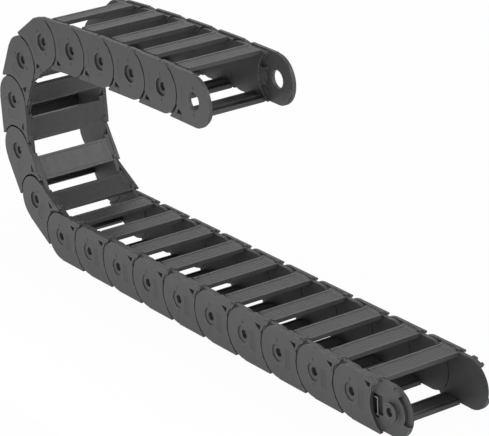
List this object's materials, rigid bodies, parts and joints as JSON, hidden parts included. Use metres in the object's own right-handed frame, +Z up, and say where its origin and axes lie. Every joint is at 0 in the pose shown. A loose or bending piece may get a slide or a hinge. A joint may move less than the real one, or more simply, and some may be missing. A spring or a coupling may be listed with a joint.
{
  "type": "cable drag chain",
  "caption": "Cable drag chain of hinged plastic links laid in a loop, with open crossbars round a cable channel and pin and bore ends.",
  "frame": {"origin": "middle of the overall length and width, on the surface that the lower run lies on", "axes": "+X along the runs towards both open ends, +Y from the near side plates to the far ones, along the pivots, +Z up"},
  "size_m": [0.8264, 0.1192, 0.3232],
  "materials": {
    "side_plate": "matte",
    "crossbar": "matte"
  },
  "bodies": {
    "link_01": {"side_plate_near_01": "side_plate", "side_plate_far_01": "side_plate", "crossbars_01": "crossbar"},
    "link_02": {"side_plate_near_02": "side_plate", "side_plate_far_02": "side_plate", "crossbars_02": "crossbar"},
    "link_03": {"side_plate_near_03": "side_plate", "side_plate_far_03": "side_plate", "crossbars_03": "crossbar"},
    "link_04": {"side_plate_near_04": "side_plate", "side_plate_far_04": "side_plate", "crossbars_04": "crossbar"},
    "link_05": {"side_plate_near_05": "side_plate", "side_plate_far_05": "side_plate", "crossbars_05": "crossbar"},
    "link_06": {"side_plate_near_06": "side_plate", "side_plate_far_06": "side_plate", "crossbars_06": "crossbar"},
    "link_07": {"side_plate_near_07": "side_plate", "side_plate_far_07": "side_plate", "crossbars_07": "crossbar"},
    "link_08": {"side_plate_near_08": "side_plate", "side_plate_far_08": "side_plate", "crossbars_08": "crossbar"},
    "link_09": {"side_plate_near_09": "side_plate", "side_plate_far_09": "side_plate", "crossbars_09": "crossbar"},
    "link_10": {"side_plate_near_10": "side_plate", "side_plate_far_10": "side_plate", "crossbars_10": "crossbar"},
    "link_11": {"side_plate_near_11": "side_plate", "side_plate_far_11": "side_plate", "crossbars_11": "crossbar"},
    "link_12": {"side_plate_near_12": "side_plate", "side_plate_far_12": "side_plate", "crossbars_12": "crossbar"},
    "link_13": {"side_plate_near_13": "side_plate", "side_plate_far_13": "side_plate", "crossbars_13": "crossbar"},
    "link_14": {"side_plate_near_14": "side_plate", "side_plate_far_14": "side_plate", "crossbars_14": "crossbar"},
    "link_15": {"side_plate_near_15": "side_plate", "side_plate_far_15": "side_plate", "crossbars_15": "crossbar"},
    "link_16": {"side_plate_near_16": "side_plate", "side_plate_far_16": "side_plate", "crossbars_16": "crossbar"},
    "link_17": {"side_plate_near_17": "side_plate", "side_plate_far_17": "side_plate", "crossbars_17": "crossbar"},
    "link_18": {"side_plate_near_18": "side_plate", "side_plate_far_18": "side_plate", "crossbars_18": "crossbar"},
    "link_19": {"side_plate_near_19": "side_plate", "side_plate_far_19": "side_plate", "crossbars_19": "crossbar"},
    "link_20": {"side_plate_near_20": "side_plate", "side_plate_far_20": "side_plate", "crossbars_20": "crossbar"}
  },
  "joints": [
    {"name": "joint_01", "type": "hinge", "parent": "link_01", "child": "link_02", "pos_m": [0.31618, 0, 0.0318], "axis": [0, -1, 0], "range_deg": [-29.5, 0]},
    {"name": "joint_02", "type": "hinge", "parent": "link_02", "child": "link_03", "pos_m": [0.24918, 0, 0.0318], "axis": [0, -1, 0], "range_deg": [-29.5, 0]},
    {"name": "joint_03", "type": "hinge", "parent": "link_03", "child": "link_04", "pos_m": [0.18218, 0, 0.0318], "axis": [0, -1, 0], "range_deg": [-29.5, 0]},
    {"name": "joint_04", "type": "hinge", "parent": "link_04", "child": "link_05", "pos_m": [0.11518, 0, 0.0318], "axis": [0, -1, 0], "range_deg": [-29.5, 0]},
    {"name": "joint_05", "type": "hinge", "parent": "link_05", "child": "link_06", "pos_m": [0.04818, 0, 0.0318], "axis": [0, -1, 0], "range_deg": [-29.5, 0]},
    {"name": "joint_06", "type": "hinge", "parent": "link_06", "child": "link_07", "pos_m": [-0.01882, 0, 0.0318], "axis": [0, -1, 0], "range_deg": [-29.5, 0]},
    {"name": "joint_07", "type": "hinge", "parent": "link_07", "child": "link_08", "pos_m": [-0.08582, 0, 0.0318], "axis": [0, 1, 0], "range_deg": [0, 29.5]},
    {"name": "joint_08", "type": "hinge", "parent": "link_08", "child": "link_09", "pos_m": [-0.15282, 0, 0.0318], "axis": [0, 1, 0], "range_deg": [0, 29.5]},
    {"name": "joint_09", "type": "hinge", "parent": "link_09", "child": "link_10", "pos_m": [-0.21982, 0, 0.0318], "axis": [0, 1, 0], "range_deg": [0, 29.5]},
    {"name": "joint_10", "type": "hinge", "parent": "link_10", "child": "link_11", "pos_m": [-0.28682, 0, 0.0318], "axis": [0, 1, 0], "range_deg": [-29.5, 0]},
    {"name": "joint_11", "type": "hinge", "parent": "link_11", "child": "link_12", "pos_m": [-0.34513, 0, 0.06479], "axis": [0, 1, 0], "range_deg": [-29.5, 0]},
    {"name": "joint_12", "type": "hinge", "parent": "link_12", "child": "link_13", "pos_m": [-0.37964, 0, 0.12222], "axis": [0, 1, 0], "range_deg": [-29.5, 0]},
    {"name": "joint_13", "type": "hinge", "parent": "link_13", "child": "link_14", "pos_m": [-0.38139, 0, 0.1892], "axis": [0, -1, 0], "range_deg": [0, 29.5]},
    {"name": "joint_14", "type": "hinge", "parent": "link_14", "child": "link_15", "pos_m": [-0.34994, 0, 0.24836], "axis": [0, -1, 0], "range_deg": [0, 29.5]},
    {"name": "joint_15", "type": "hinge", "parent": "link_15", "child": "link_16", "pos_m": [-0.29343, 0, 0.28436], "axis": [0, -1, 0], "range_deg": [0, 29.5]},
    {"name": "joint_16", "type": "hinge", "parent": "link_16", "child": "link_17", "pos_m": [-0.22652, 0, 0.28786], "axis": [0, -1, 0], "range_deg": [-28.5, 1]},
    {"name": "joint_17", "type": "hinge", "parent": "link_17", "child": "link_18", "pos_m": [-0.15956, 0, 0.2902], "axis": [0, -1, 0], "range_deg": [-28.5, 1]},
    {"name": "joint_18", "type": "hinge", "parent": "link_18", "child": "link_19", "pos_m": [-0.09257, 0, 0.29137], "axis": [0, -1, 0], "range_deg": [-28.5, 1]},
    {"name": "joint_19", "type": "hinge", "parent": "link_19", "child": "link_20", "pos_m": [-0.02557, 0, 0.29137], "axis": [0, -1, 0], "range_deg": [-28.5, 1]}
  ]
}
